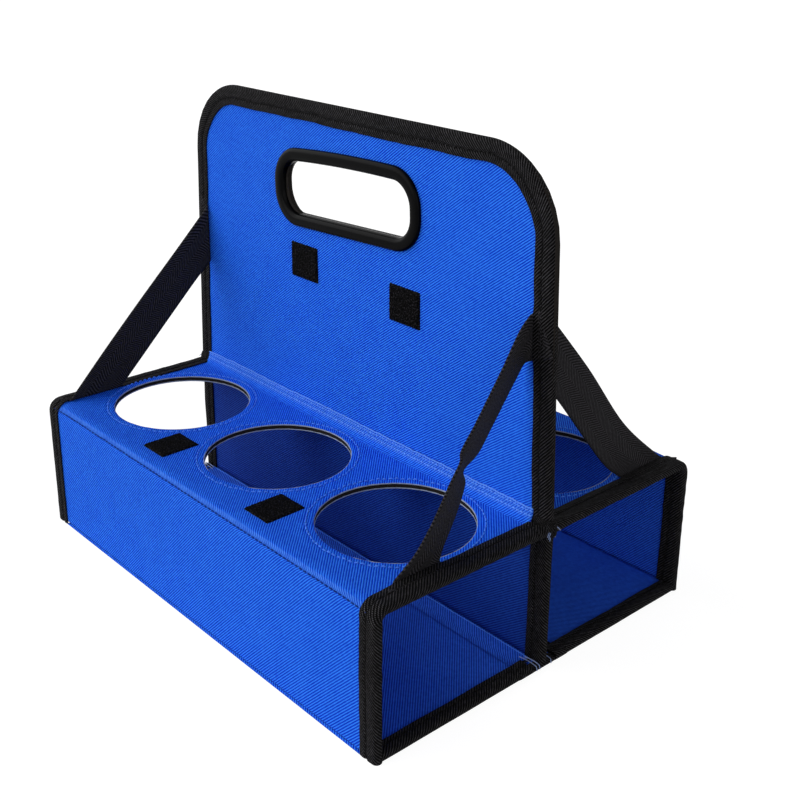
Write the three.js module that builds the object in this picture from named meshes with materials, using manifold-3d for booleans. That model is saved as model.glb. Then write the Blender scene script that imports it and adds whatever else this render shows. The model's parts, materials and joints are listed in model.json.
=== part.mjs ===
// Collapsible drink carrier: fabric-covered boards that fold flat against a tall centre panel.
// Millimetres, +Z up. X runs along the carrier and -Y is its front.
// The origin is on the ground under its middle.
import * as THREE from "three";
import { mergeVertices } from "three/addons/utils/BufferGeometryUtils.js";
import Module from "manifold-3d";

const wasm = await Module();
wasm.setup();

// Driving dimensions
const carrierLength = 320; // end to end, over the edge tapes
const wallFace = 117; // outer face of each long wall, from the middle of the carrier
const deckTop = 84; // top of the cup decks above the ground
const panelTop = 276; // top of the centre panel, over its edge tape
const panelCorner = 46; // radius of the panel's two upper corners
const panelLean = 7; // how far each side of the panel leans in, from the deck to the top
const cupHole = 42; // radius
const cupPitch = 101.5; // from hole to hole along the carrier
const cupFromMiddle = 54.5; // hole centres to the middle of the panel

// Sheet stock
const fabric = 0.6;
const board = 2.4;
const panelBoard = 2.8;
const sheet = board + 2 * fabric; // a covered deck, wall or floor
const panel = panelBoard + 2 * fabric;
const tape = 0.7; // edge tape, folded over every raw edge
const tapeReach = 12; // how far each leg of the tape covers a face
const ease = 0.2; // slack between a tape and what it covers
const gap = 0.3; // between pieces that meet edge to edge

// Handle grommet and hook-and-loop patches
const grommet = { width: 128, height: 47, corner: 20.5, z: 226, proud: 2.6 };
const grip = { width: 106, height: 32, corner: 14 };
const gripSlot = { width: 112, height: 38, corner: 17 };
const gripCollar = { width: 111, height: 37, corner: 16.5 };
const patch = { long: 25, short: 23, thick: 1.4, lift: 0.1 };
const panelPatch = { x: 47, z: 171 };
const deckPatch = { x: cupPitch / 2, fromMiddle: 94 };

// Webbing straps from the panel's edges down to the decks
const strap = { thick: 1.2, halfWidth: 12.5, inset: tapeReach + ease, sections: 18 };
const tightHead = { from: 157, to: 195 }; // heights on the panel
const tightFoot = { from: 70, to: 104 }; // distances from the middle, on the deck
const slackHead = { from: 166, to: 196 };
const slackFoot = { from: 66, to: 97 };

// The fold lines of one half, as distances from the middle and heights.
// They are the corners of a parallelogram, so the wall stays upright
// while the deck and the floor swing up against the panel.
const patchRoom = 3.3; // left between the panel and a folded deck for the patches
const nestRoom = 2.4; // left between a folded deck and the wall and floor outside it
const deckFold = panel / 2 + patchRoom;
const floorFold = deckFold + sheet + nestRoom + sheet;
const foldSpan = wallFace - floorFold; // from fold line to fold line across the deck and the floor
const cornerFold = deckFold + foldSpan; // deck to wall
const cornerRadius = wallFace - cornerFold; // the soft outer corner rolls over at this radius
const keel = { raised: 10, thick: 3 }; // fabric gutter under the panel, between the two floors
const floorStart = floorFold + fabric + gap;
const flange = { rise: 6, thick: tape }; // deck fabric turned up and sewn to the panel

const half = carrierLength / 2;
const clothEnd = half - tape - ease; // covers and boards stop short of the tape's fold
const wallFoot = fabric + gap;
const wallHead = deckTop - cornerRadius - gap;
const panelFoot = keel.thick + gap;

const holeSteps = 20; // curve segments in half of a cup hole
const cornerSteps = 4; // and in half of a rounded corner

const finish = (color, roughness) => new THREE.MeshStandardMaterial({ color, roughness, metalness: 0 });
const blueTwill = finish(0x1b57dd, 0.8);
const blueLining = finish(0x17469f, 0.85);
const blackTape = finish(0x141414, 0.85);
const blackWebbing = finish(0x161616, 0.8);
const blackHookLoop = finish(0x101010, 0.95);
const blackPlastic = finish(0x0d0d0e, 0.35);
const blackBoard = finish(0x1c1917, 0.9);

const carrier = new THREE.Group();

function add(parent, name, geometry, material) {
  const mesh = new THREE.Mesh(geometry, material);
  mesh.name = name;
  parent.add(mesh);
}

// Boolean helpers
function solidOf(geometry) {
  const bare = geometry.clone();
  bare.deleteAttribute("normal");
  bare.deleteAttribute("uv");
  const merged = mergeVertices(bare, 1e-4);
  const vertProperties = merged.attributes.position.array;
  const triVerts = new Uint32Array(merged.index.array);
  return new wasm.Manifold(new wasm.Mesh({ numProp: 3, vertProperties, triVerts }));
}

function geometryOf(solid) {
  const { vertProperties, triVerts } = solid.getMesh();
  const geometry = new THREE.BufferGeometry();
  geometry.setAttribute("position", new THREE.BufferAttribute(vertProperties, 3));
  geometry.setIndex(new THREE.BufferAttribute(triVerts, 1));
  return geometry;
}

const cut = (geometry, tool) => geometryOf(solidOf(geometry).subtract(solidOf(tool)));
const mirrored = (geometry) => geometryOf(solidOf(geometry).mirror([1, 0, 0]));
const join = (geometry, other) => geometryOf(solidOf(geometry).add(solidOf(other)));

// A block between two corners
function block([x0, x1], [y0, y1], [z0, z1]) {
  const box = new THREE.BoxGeometry(x1 - x0, y1 - y0, z1 - z0);
  return box.translate((x0 + x1) / 2, (y0 + y1) / 2, (z0 + z1) / 2);
}

function outlineOf(points) {
  return new THREE.Shape(points.map(([a, b]) => new THREE.Vector2(a, b)));
}

function extrude(shape, depth, curveSegments = cornerSteps) {
  return new THREE.ExtrudeGeometry(shape, { depth, bevelEnabled: false, curveSegments });
}

// An outline drawn in X and Z, standing upright between two distances in front of the middle plane
function upright(shape, near, far, curveSegments) {
  return extrude(shape, far - near, curveSegments).rotateX(Math.PI / 2).translate(0, -near, 0);
}

// An outline drawn as distance from the middle and height, run along X
function alongX(shape, x0, x1) {
  const turn = new THREE.Matrix4().set(0, 0, -1, x1, -1, 0, 0, 0, 0, 1, 0, 0, 0, 0, 0, 1);
  return extrude(shape, x1 - x0).applyMatrix4(turn);
}

function roundedBox({ width, height, corner }, z) {
  const [w, h] = [width / 2, height / 2];
  const shape = new THREE.Shape();
  shape.moveTo(w - corner, z - h);
  shape.absarc(w - corner, z - h + corner, corner, -Math.PI / 2, 0);
  shape.absarc(w - corner, z + h - corner, corner, 0, Math.PI / 2);
  shape.absarc(-w + corner, z + h - corner, corner, Math.PI / 2, Math.PI);
  shape.absarc(-w + corner, z - h + corner, corner, Math.PI, 1.5 * Math.PI);
  shape.closePath();
  return shape;
}

// Half the panel's length at a height: upright below the decks, leaning in above them
const leanAngle = Math.atan2(panelLean, panelTop - deckTop);
const panelEdge = (z) => half - Math.max(0, z - deckTop) * Math.tan(leanAngle);

// The centre panel's outline, drawn in from its outer edge
function panelOutline(inset, foot) {
  const [r, z] = [panelCorner - inset, panelTop - panelCorner];
  const x = panelEdge(z) - panelCorner / Math.cos(leanAngle);
  const shape = new THREE.Shape();
  shape.moveTo(-panelEdge(foot) + inset, foot);
  shape.lineTo(panelEdge(foot) - inset, foot);
  if (foot < deckTop) {
    shape.lineTo(half - inset, deckTop);
  }
  shape.absarc(x, z, r, leanAngle, Math.PI / 2);
  shape.absarc(-x, z, r, Math.PI / 2, Math.PI - leanAngle);
  if (foot < deckTop) {
    shape.lineTo(inset - half, deckTop);
  }
  shape.closePath();
  return shape;
}

// Edge tape folded over a straight end at +X, drawn across the sheet from low to high
function tapeSection([outerLow, innerLow], [innerHigh, outerHigh]) {
  const [tip, fold] = [half - tapeReach, half - tape];
  return outlineOf([
    [tip, outerLow],
    [half, outerLow],
    [half, outerHigh],
    [tip, outerHigh],
    [tip, innerHigh],
    [fold, innerHigh],
    [fold, innerLow],
    [tip, innerLow],
  ]);
}

const tapeOver = (low, high) => [
  [low - ease - tape, low - ease],
  [high + ease, high + ease + tape],
];

// The carrier's left and right, with their signs in X.
// The rear half is drawn turned round, so there they change places.
function endsOf(side) {
  const names = side === "rear" ? ["right", "left"] : ["left", "right"];
  return [
    [names[0], -1],
    [names[1], 1],
  ];
}

// Both ends of a piece that is drawn at +X
function addEnds(parent, side, piece, geometry, material) {
  for (const [end, sign] of endsOf(side)) {
    add(parent, `${piece}_${end}`, sign > 0 ? geometry : mirrored(geometry), material);
  }
}

function addCentrePanel() {
  const slot = roundedBox(gripSlot, grommet.z);
  const face = panelOutline(tape + ease, panelFoot);
  face.holes.push(slot);
  const core = panelBoard / 2;
  add(carrier, "panel_board", upright(face, -core, core), blackBoard);
  add(carrier, "panel_cover_front", upright(face, core, core + fabric), blueTwill);
  add(carrier, "panel_cover_rear", upright(face, -core - fabric, -core), blueTwill);

  // The upper tape runs from one deck over the top of the panel to the other end
  const tapeFoot = deckTop + 2 * tape;
  const over = panel / 2 + ease + tape;
  const arch = panelOutline(tapeReach, tapeFoot - 1);
  const covered = upright(panelOutline(tape, tapeFoot - 2), -panel / 2 - ease, panel / 2 + ease);
  const legs = cut(upright(panelOutline(0, tapeFoot), -over, over), upright(arch, -over - 1, over + 1));
  add(carrier, "panel_tape", cut(legs, covered), blackTape);

  const dividerHead = deckTop - sheet - 2 * tape;
  const [front, rear] = tapeOver(-panel / 2, panel / 2);
  const dividerTape = extrude(tapeSection(front, rear), dividerHead - panelFoot).translate(0, 0, panelFoot);
  addEnds(carrier, "front", "divider_tape", dividerTape, blackTape);

  const keelShape = outlineOf([
    [-floorFold - fabric, 0],
    [floorFold + fabric, 0],
    [floorFold + fabric, fabric],
    [keel.raised, fabric],
    [keel.raised, keel.thick],
    [-keel.raised, keel.thick],
    [-keel.raised, fabric],
    [-floorFold - fabric, fabric],
  ]);
  add(carrier, "floor_gutter", alongX(keelShape, -clothEnd, clothEnd), blueLining);
}

// Two halves of the snap-in handle grommet: a rim on the face of the panel and a collar through its slot
function addHandle() {
  for (const [side, turn] of [
    ["front", 0],
    ["rear", Math.PI],
  ]) {
    const rim = roundedBox(grommet, grommet.z);
    rim.holes.push(roundedBox(grip, grommet.z));
    const wall = roundedBox(gripCollar, grommet.z);
    wall.holes.push(roundedBox(grip, grommet.z));
    const face = panel / 2 + patch.lift;
    const front = face + grommet.proud;
    const grommetHalf = join(upright(rim, face, front), upright(wall, gap / 2, (face + front) / 2));
    add(carrier, `handle_${side}`, grommetHalf.rotateZ(turn), blackPlastic);
  }
}

// One webbing strap on the front half, between its head on the panel and its foot on the deck.
// Its ends are cut along the panel and along the deck, and a slack one turns on edge between them.
function strapGeometry(side, { sag, turn, head, foot }) {
  const inset = strap.inset + strap.thick / 2;
  const [headX, footX] = [panelEdge(head.to) - inset, half - inset];
  const top = new THREE.Vector3(side * headX, -panel / 2 - gap, (head.from + head.to) / 2);
  const bottom = new THREE.Vector3(side * footX, -(foot.from + foot.to) / 2, deckTop + gap);
  const belly = top.clone().lerp(bottom, 0.5).add(new THREE.Vector3(0, 0.6 * sag, -sag));
  const path = new THREE.QuadraticBezierCurve3(top, belly, bottom);
  const headCut = new THREE.Vector3(0, 0, (head.to - head.from) / 2);
  const footCut = new THREE.Vector3(0, -(foot.to - foot.from) / 2, 0);

  const positions = [];
  for (let k = 0; k <= strap.sections; k++) {
    const t = k / strap.sections;
    const angle = turn * Math.sin(Math.PI * t) ** 2;
    const across = headCut.clone().lerp(footCut, t).multiplyScalar(Math.cos(angle));
    across.x += side * strap.halfWidth * Math.sin(angle);
    const through = path.getTangent(t).cross(across).setLength(strap.thick / 2);
    const centre = path.getPoint(t);
    for (const [a, b] of [
      [-1, -1],
      [1, -1],
      [1, 1],
      [-1, 1],
    ]) {
      const corner = centre.clone().addScaledVector(across, a).addScaledVector(through, b);
      positions.push(corner.x, corner.y, corner.z);
    }
  }
  const faces = [];
  const quad = (a, b, c, d) => faces.push(a, b, c, a, c, d);
  for (let k = 0; k < strap.sections; k++) {
    for (let j = 0; j < 4; j++) {
      const next = (j + 1) % 4;
      quad(4 * k + j, 4 * k + next, 4 * k + 4 + next, 4 * k + 4 + j);
    }
  }
  const last = 4 * strap.sections;
  quad(3, 2, 1, 0);
  quad(last, last + 1, last + 2, last + 3);
  const geometry = new THREE.BufferGeometry();
  geometry.setAttribute("position", new THREE.Float32BufferAttribute(positions, 3));
  geometry.setIndex(faces);
  return geometry;
}

// A deck sheet with its row of cup holes
function deckSheet(low, high) {
  const shape = outlineOf([
    [-clothEnd, -cornerFold + gap],
    [clothEnd, -cornerFold + gap],
    [clothEnd, -deckFold - gap],
    [-clothEnd, -deckFold - gap],
  ]);
  for (const k of [-1, 0, 1]) {
    shape.holes.push(new THREE.Path().absarc(k * cupPitch, -cupFromMiddle, cupHole, 0, 2 * Math.PI));
  }
  return extrude(shape, high - low, holeSteps).translate(0, 0, low);
}

function addDeck(group, side) {
  const under = deckTop - sheet;
  add(group, `${side}_deck_lining`, deckSheet(under, under + fabric), blueLining);
  add(group, `${side}_deck_board`, deckSheet(under + fabric, deckTop - fabric), blackBoard);
  add(group, `${side}_deck_cover`, deckSheet(deckTop - fabric, deckTop), blueTwill);

  const [low, high] = tapeOver(under, deckTop);
  const deckTape = upright(tapeSection(low, high), deckFold + tape, cornerFold - 2 * gap);
  addEnds(group, side, `${side}_deck_tape`, deckTape, blackTape);

  const [w, l] = [patch.short / 2, patch.long / 2];
  const loop = block(
    [deckPatch.x - w, deckPatch.x + w],
    [-deckPatch.fromMiddle - l, -deckPatch.fromMiddle + l],
    [deckTop + patch.lift, deckTop + patch.lift + patch.thick],
  );
  addEnds(group, side, `${side}_deck_loop`, loop, blackHookLoop);
}

// The soft corner from deck to wall: the cover and lining alone, with no board, rolled a quarter turn
function addCorner(group, side) {
  const centre = [cornerFold, deckTop - cornerRadius];
  const inner = cornerRadius - 2 * fabric;
  const quarter = (from, to, past = 0) => {
    const [start, end] = [-past, Math.PI / 2 + past];
    const shape = new THREE.Shape();
    shape.absarc(...centre, to, start, end);
    shape.absarc(...centre, from, end, start, true);
    shape.closePath();
    return shape;
  };
  const roll = alongX(quarter(inner, cornerRadius), -clothEnd, clothEnd);
  add(group, `${side}_corner_roll`, roll, blueTwill);

  const [tapeInner, tapeOuter] = [inner - ease - tape, cornerRadius + ease + tape];
  const around = alongX(quarter(tapeInner, tapeOuter), half - tapeReach, half);
  const covered = alongX(quarter(inner - ease, cornerRadius + ease, 0.1), 0, half - tape);
  addEnds(group, side, `${side}_corner_tape`, cut(around, covered), blackTape);
}

function addWall(group, side) {
  const inner = wallFace - sheet;
  const leaf = (near, far) => block([-clothEnd, clothEnd], [-far, -near], [wallFoot, wallHead]);
  add(group, `${side}_wall_lining`, leaf(inner, inner + fabric), blueLining);
  add(group, `${side}_wall_board`, leaf(inner + fabric, wallFace - fabric), blackBoard);
  add(group, `${side}_wall_cover`, leaf(wallFace - fabric, wallFace), blueTwill);

  const [outer, inside] = tapeOver(-wallFace, -inner);
  const wallTape = extrude(tapeSection(outer, inside), wallHead - wallFoot - 2 * gap);
  addEnds(group, side, `${side}_wall_tape`, wallTape.translate(0, 0, wallFoot + gap), blackTape);
}

// The floor's cover runs on under the wall, and its tape lies flush with the ground
function addFloor(group, side) {
  const end = wallFace - sheet - ease - tape - gap;
  const coverEnd = half - tapeReach - gap;
  const leaf = (low, high) => block([-clothEnd, clothEnd], [-end, -floorStart], [low, high]);
  const cover = block([-coverEnd, coverEnd], [-wallFace, -floorStart], [0, fabric]);
  add(group, `${side}_floor_cover`, cover, blueTwill);
  add(group, `${side}_floor_board`, leaf(fabric, sheet - fabric), blackBoard);
  add(group, `${side}_floor_lining`, leaf(sheet - fabric, sheet), blueLining);

  const flush = fabric - ease / 2;
  const floorTape = upright(
    tapeSection([0, flush], [sheet + ease, sheet + ease + tape]),
    floorStart + gap,
    end,
  );
  addEnds(group, side, `${side}_floor_tape`, floorTape, blackTape);
}

// What each half sews on to the panel: the turned-up seam of its deck, its hook patches and its straps
function addSewnParts(group, side, straps) {
  const face = panel / 2 + ease;
  const low = deckTop - flange.thick;
  const seam = outlineOf([
    [face, low],
    [deckFold - ease / 2, low],
    [deckFold - ease / 2, deckTop],
    [face + flange.thick, deckTop],
    [face + flange.thick, deckTop + flange.rise],
    [face, deckTop + flange.rise],
  ]);
  const seamEnd = half - tapeReach - gap;
  add(group, `${side}_deck_seam`, alongX(seam, -seamEnd, seamEnd), blueTwill);

  const [w, l] = [patch.long / 2, patch.short / 2];
  const near = panel / 2 + patch.lift;
  const hook = block(
    [panelPatch.x - w, panelPatch.x + w],
    [-near - patch.thick, -near],
    [panelPatch.z - l, panelPatch.z + l],
  );
  addEnds(group, side, `${side}_panel_hook`, hook, blackHookLoop);

  for (const [end, sign] of endsOf(side)) {
    add(group, `${side}_strap_${end}`, strapGeometry(sign, straps[end]), blackWebbing);
  }
}

// The front half is drawn in place, and the rear half is the same parts turned half round
function addHalf(side, turn, straps) {
  const group = new THREE.Group();
  addSewnParts(group, side, straps);
  addDeck(group, side);
  addCorner(group, side);
  addWall(group, side);
  addFloor(group, side);
  group.rotation.z = turn;
  carrier.add(group);
}

addCentrePanel();
addHandle();

const tight = { sag: 4, turn: 0, head: tightHead, foot: tightFoot };
const slack = { sag: 6, turn: Math.PI / 4, head: slackHead, foot: slackFoot };
addHalf("front", 0, { left: tight, right: slack });
addHalf("rear", Math.PI, { left: { ...tight, sag: 8 }, right: { ...tight, sag: 14 } });

export default carrier;
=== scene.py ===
# Folding six-cup drink carrier: blue twill over boards, black edge tape, webbing straps and a plastic
# handle rim
import json

import bmesh
import bpy
import numpy as np
from mathutils import Matrix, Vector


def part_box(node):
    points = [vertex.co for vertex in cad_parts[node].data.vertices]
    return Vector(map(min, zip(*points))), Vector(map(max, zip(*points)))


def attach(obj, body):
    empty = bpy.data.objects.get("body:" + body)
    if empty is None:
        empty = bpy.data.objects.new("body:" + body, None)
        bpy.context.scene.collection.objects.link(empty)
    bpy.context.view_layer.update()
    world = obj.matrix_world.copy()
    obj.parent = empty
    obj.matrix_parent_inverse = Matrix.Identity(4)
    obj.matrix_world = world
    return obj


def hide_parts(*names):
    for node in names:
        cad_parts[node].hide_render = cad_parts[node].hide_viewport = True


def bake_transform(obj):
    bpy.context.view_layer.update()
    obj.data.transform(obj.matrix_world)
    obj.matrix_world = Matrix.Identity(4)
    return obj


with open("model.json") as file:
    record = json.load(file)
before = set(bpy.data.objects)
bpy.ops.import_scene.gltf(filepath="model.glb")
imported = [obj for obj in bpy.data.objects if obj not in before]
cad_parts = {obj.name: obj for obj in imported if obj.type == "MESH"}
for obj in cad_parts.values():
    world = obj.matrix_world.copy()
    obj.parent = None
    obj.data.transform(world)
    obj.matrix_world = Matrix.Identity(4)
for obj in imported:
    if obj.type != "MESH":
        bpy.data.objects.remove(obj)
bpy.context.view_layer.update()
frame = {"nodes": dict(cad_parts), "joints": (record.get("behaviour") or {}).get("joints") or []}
mm = 0.001
print("frame loaded:", len(frame["nodes"]), "nodes")


# Lowest and highest place of a CAD node along one axis, in millimetres
def span(node, axis):
    low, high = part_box(node)
    return low[axis] / mm, high[axis] / mm


halfLength = span("front_deck_tape_right", 0)[1]
deckTop = span("front_deck_cover", 2)[1]
deckUnder = span("front_deck_lining", 2)[0]
wallFace = -span("front_wall_cover", 1)[0]
wallInner = -span("front_wall_lining", 1)[1]
panelTop = span("panel_tape", 2)[1]
panelFace = -span("panel_cover_front", 1)[0]
panelFoot = span("panel_cover_front", 2)[0]
floorTop = span("front_floor_lining", 2)[1]
floorStart = -span("front_floor_lining", 1)[1]
foldAt = {j["name"]: np.abs(j["pos_m"]) / mm for j in frame["joints"]}
deckFold = foldAt["front_deck_fold"][1]
cornerFold = foldAt["front_wall_fold"][1]
clothCut = span("front_deck_cover", 0)[1] - 3.0  # cloth stops well inside the folds of the tapes
tapeHold = (8, 24)  # how far in from its cut end cloth is held flat, and where it is free
sides = {"front": -1, "rear": 1}
ends = {"left": -1, "right": 1}
upward = np.array([0.0, 0.0, 1.0])
rearward = np.array([0.0, 1.0, 0.0])


# sRGB hex to linear colour: the standard curve, with its straight foot below 0.04045
def linear(hexColour):
    srgb = np.array([int(hexColour[k:k + 2], 16) for k in (1, 3, 5)]) / 255
    curve = np.where(srgb <= 0.04045, srgb / 12.92, ((srgb + 0.055) / 1.055) ** 2.4)
    return (*curve, 1.0)


# One node with its own settings; an input is a value, or a (node, output) pair to link
def addNode(tree, kind, inputs=None, **settings):
    node = tree.nodes.new(kind)
    for key, value in settings.items():
        setattr(node, key, value)
    for socket, value in (inputs or {}).items():
        if isinstance(value, tuple) and isinstance(value[0], bpy.types.Node):
            tree.links.new(value[0].outputs[value[1]], node.inputs[socket])
        else:
            node.inputs[socket].default_value = value
    return node


# An empty node tree with a Principled shader on its output
def newMaterial(name, specular, **shaderInputs):
    material = bpy.data.materials.new(name)
    material.use_nodes = True
    tree = material.node_tree
    tree.nodes.clear()
    shader = addNode(tree, "ShaderNodeBsdfPrincipled", {"Specular IOR Level": specular, **shaderInputs})
    addNode(tree, "ShaderNodeOutputMaterial", {"Surface": (shader, "BSDF")})
    return material, tree, shader


# Puts a pattern on a shader as a mix of two colours, and a height, where there is one, as relief
def dress(tree, shader, pattern, dark, light, height=None, strength=0.0, relief=0.0):
    colour = addNode(tree, "ShaderNodeMix", {"Factor": pattern, 6: linear(dark), 7: linear(light)},
                     data_type="RGBA")
    tree.links.new(colour.outputs[2], shader.inputs["Base Color"])
    if height:
        bump = addNode(tree, "ShaderNodeBump",
                       {"Height": height, "Strength": strength, "Distance": relief * mm})
        tree.links.new(bump.outputs["Normal"], shader.inputs["Normal"])


waveScale = 0.2 * np.pi  # a wave texture repeats every 0.2 pi of its place at scale 1
weave = {"yarnPitch": 0.85, "dyeSize": 18, "dyeShare": 0.3, "fleckSize": 2.4, "fleckShare": 0.75}


# Woven cloth on the piece's flat places: slanted ribs crossed by yarns, with uneven dye. The colour
# follows the woven height, a painted highlight on the rib crowns and painted shade in the valleys, mixed
# with the real uneven dye and flecks. Ribs and yarns are drawn coarse enough to show. Tone gives the
# woven heights that show the dark and the light colour.
def twillCloth(name, light, dark, relief, tone, specular, ribPitch=1.28, lean=-1, yarnShare=0.3):
    material, tree, shader = newMaterial(name, specular, Roughness=0.8, IOR=1.5)
    cloth = addNode(tree, "ShaderNodeUVMap", uv_map="flatCloth")
    turned = addNode(tree, "ShaderNodeMapping", {"Vector": (cloth, "UV"), "Scale": (1, lean, 1)})
    # a diagonal wave runs along x + lean * y, and the ribs are ribPitch apart square to their run
    ribs = addNode(tree, "ShaderNodeTexWave",
                   {"Vector": (turned, "Vector"), "Scale": waveScale / (ribPitch * np.hypot(1, lean)),
                    "Distortion": 0.5, "Detail": 2.0, "Detail Scale": 0.7},
                   wave_type="BANDS", bands_direction="DIAGONAL", wave_profile="SIN")
    yarns = addNode(tree, "ShaderNodeTexWave",
                    {"Vector": (cloth, "UV"), "Scale": waveScale / (weave["yarnPitch"] * ribPitch),
                     "Distortion": 1.2, "Detail": 1.0}, wave_type="BANDS", bands_direction="X")
    height = addNode(tree, "ShaderNodeMath", {0: (yarns, "Fac"), 1: yarnShare, 2: (ribs, "Fac")},
                     operation="MULTIPLY_ADD")
    shadeAndDye = height
    for part, detail in (("fleck", 2.0), ("dye", 3.0)):
        noise = addNode(tree, "ShaderNodeTexNoise",
                        {"Vector": (cloth, "UV"), "Scale": 1 / weave[part + "Size"], "Detail": detail})
        shadeAndDye = addNode(tree, "ShaderNodeMath",
                          {0: (noise, "Fac"), 1: weave[part + "Share"], 2: (shadeAndDye, "Value")},
                          operation="MULTIPLY_ADD")
    # woven height sets the colour share: painted highlight on crowns and painted shade in valleys, with real
    # dye and flecks
    share = addNode(tree, "ShaderNodeMapRange",
                    {"Value": (shadeAndDye, "Value"), "From Min": tone[0], "From Max": tone[1]})
    dress(tree, shader, (share, "Result"), dark, light, (height, "Value"), strength=0.8, relief=relief)
    return material


# Polyester twill: a strong blue with a soft, dull rib
blueTwill = twillCloth("polyesterTwillBlue", "#3488FF", "#0131D0", relief=0.3, tone=(0.9, 1.46),
                       specular=0.06)
blueLining = twillCloth("polyesterTwillBlueLining", "#3070EE", "#0A31A8", relief=0.2, tone=(0.8, 1.56),
                        specular=0.16)
# A darker copy of the lining for the divider below the decks: painted shade for the dim space there
shadedLining = twillCloth("polyesterTwillBlueShaded", "#1F4EB6", "#062076", relief=0.2, tone=(0.8, 1.56),
                        specular=0.1)
# A paler copy of the twill where it is turned and sewn: a painted highlight on folds that face the light
highlitTwill = twillCloth("polyesterTwillBlueHighlit", "#5096FF", "#0C42D2", relief=0.35, tone=(0.75, 1.7),
                         specular=0.08)
# Polyester binding: black, with rib crowns that catch the light as short grey dashes
blackTape = twillCloth("polyesterBindingBlack", "#68666A", "#020202", relief=0.45, tone=(1.46, 2.42),
                       specular=0.04, ribPitch=1.3, lean=1, yarnShare=0.6)

webbing = {"ribPitch": 1.3, "turnBack": 6.5, "fleckSize": 1.3}


# Polypropylene webbing: herringbone ribs that turn back every few millimetres of its width, dull black,
# with grey on the rib crowns as a painted highlight, broken up by random flecks
def webbingCloth():
    material, tree, shader = newMaterial("polypropyleneWebbingBlack", 0.06, Roughness=0.75, IOR=1.49)
    cloth = addNode(tree, "ShaderNodeUVMap", uv_map="flatCloth")
    axes = addNode(tree, "ShaderNodeSeparateXYZ", {"Vector": (cloth, "UV")})
    back = addNode(tree, "ShaderNodeMath", {0: (axes, "Y"), 1: webbing["turnBack"]}, operation="PINGPONG")
    chevron = addNode(tree, "ShaderNodeCombineXYZ", {"X": (axes, "X"), "Y": (back, "Value")})
    ribs = addNode(tree, "ShaderNodeTexWave",
                   {"Vector": (chevron, "Vector"), "Scale": waveScale / (webbing["ribPitch"] * np.sqrt(2)),
                    "Distortion": 0.8}, wave_type="BANDS", bands_direction="DIAGONAL")
    fleck = addNode(tree, "ShaderNodeTexNoise",
                    {"Vector": (cloth, "UV"), "Scale": 1 / webbing["fleckSize"], "Detail": 2.0})
    # grey rib crowns: painted highlight, broken up by random flecks
    paintedHighlight = addNode(tree, "ShaderNodeMath", {0: (ribs, "Fac"), 1: (fleck, "Fac")}, operation="MULTIPLY")
    dress(tree, shader, (paintedHighlight, "Value"), "#050505", "#504E53", (ribs, "Fac"), strength=0.7, relief=0.4)
    return material


pile = {"hookSize": 1.1, "fibreSize": 0.9, "specks": (0.52, 0.78)}


# Nylon hook-and-loop: a matted pile, black with pale hooks that sparkle as small specks
def pileCloth():
    material, tree, shader = newMaterial("nylonPileBlack", 0.03, Roughness=0.85, IOR=1.53)
    cloth = addNode(tree, "ShaderNodeUVMap", uv_map="flatCloth")
    hooks = addNode(tree, "ShaderNodeTexVoronoi", {"Vector": (cloth, "UV"), "Scale": 1 / pile["hookSize"]})
    fibre = addNode(tree, "ShaderNodeTexNoise",
                    {"Vector": (cloth, "UV"), "Scale": 1 / pile["fibreSize"], "Detail": 3.0})
    speck = addNode(tree, "ShaderNodeMapRange",
                    {"Value": (fibre, "Fac"), "From Min": pile["specks"][0], "From Max": pile["specks"][1]})
    dress(tree, shader, (speck, "Result"), "#020202", "#3E3C40", (hooks, "Distance"), strength=0.8,
          relief=0.5)
    return material


plastic = {"grain": 0.8, "gloss": (0.2, 0.3), "relief": 0.05}


# ABS, moulded: smooth black with a satin gloss and a hardly visible texture from the tool
def mouldedPlastic():
    material, tree, shader = newMaterial("absMouldedBlack", 0.035, IOR=1.54)
    shader.inputs["Base Color"].default_value = linear("#020203")
    place = addNode(tree, "ShaderNodeTexCoord")
    grain = addNode(tree, "ShaderNodeTexNoise",
                    {"Vector": (place, "Object"), "Scale": 1 / (plastic["grain"] * mm), "Detail": 2.0})
    gloss = addNode(tree, "ShaderNodeMapRange",
                    {"Value": (grain, "Fac"), "To Min": plastic["gloss"][0], "To Max": plastic["gloss"][1]})
    tree.links.new(gloss.outputs["Result"], shader.inputs["Roughness"])
    bump = addNode(tree, "ShaderNodeBump",
                   {"Height": (grain, "Fac"), "Strength": 0.15, "Distance": plastic["relief"] * mm})
    tree.links.new(bump.outputs["Normal"], shader.inputs["Normal"])
    return material


boardFibre = 1.5


# Solid paper board, die cut: black with a fibrous, slightly dusty cut edge
def paperBoard():
    material, tree, shader = newMaterial("paperBoardBlack", 0.15, Roughness=0.92, IOR=1.45)
    place = addNode(tree, "ShaderNodeTexCoord")
    fibre = addNode(tree, "ShaderNodeTexNoise",
                    {"Vector": (place, "Object"), "Scale": 1 / (boardFibre * mm), "Detail": 4.0})
    dress(tree, shader, (fibre, "Fac"), "#080707", "#2A2623", (fibre, "Fac"), strength=0.5, relief=0.2)
    return material


threadTwist = 0.9


# Spun polyester thread: a plain colour that darkens unevenly along its twist
def sewingThread(name, light, dark):
    material, tree, shader = newMaterial(name, 0.1, Roughness=0.7, IOR=1.5)
    place = addNode(tree, "ShaderNodeTexCoord")
    twist = addNode(tree, "ShaderNodeTexNoise",
                    {"Vector": (place, "Object"), "Scale": 1 / (threadTwist * mm)})
    dress(tree, shader, (twist, "Fac"), dark, light)
    return material


blackWebbing = webbingCloth()
blackPile = pileCloth()
blackPlastic = mouldedPlastic()
blackBoard = paperBoard()
blueThread = sewingThread("polyesterThreadBlue", "#62A0FE", "#2E6AEC")
lightThread = sewingThread("polyesterThreadLightBlue", "#7FB0FC", "#4284F4")
blackThread = sewingThread("polyesterThreadBlack", "#0C0B0C", "#020202")
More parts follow.
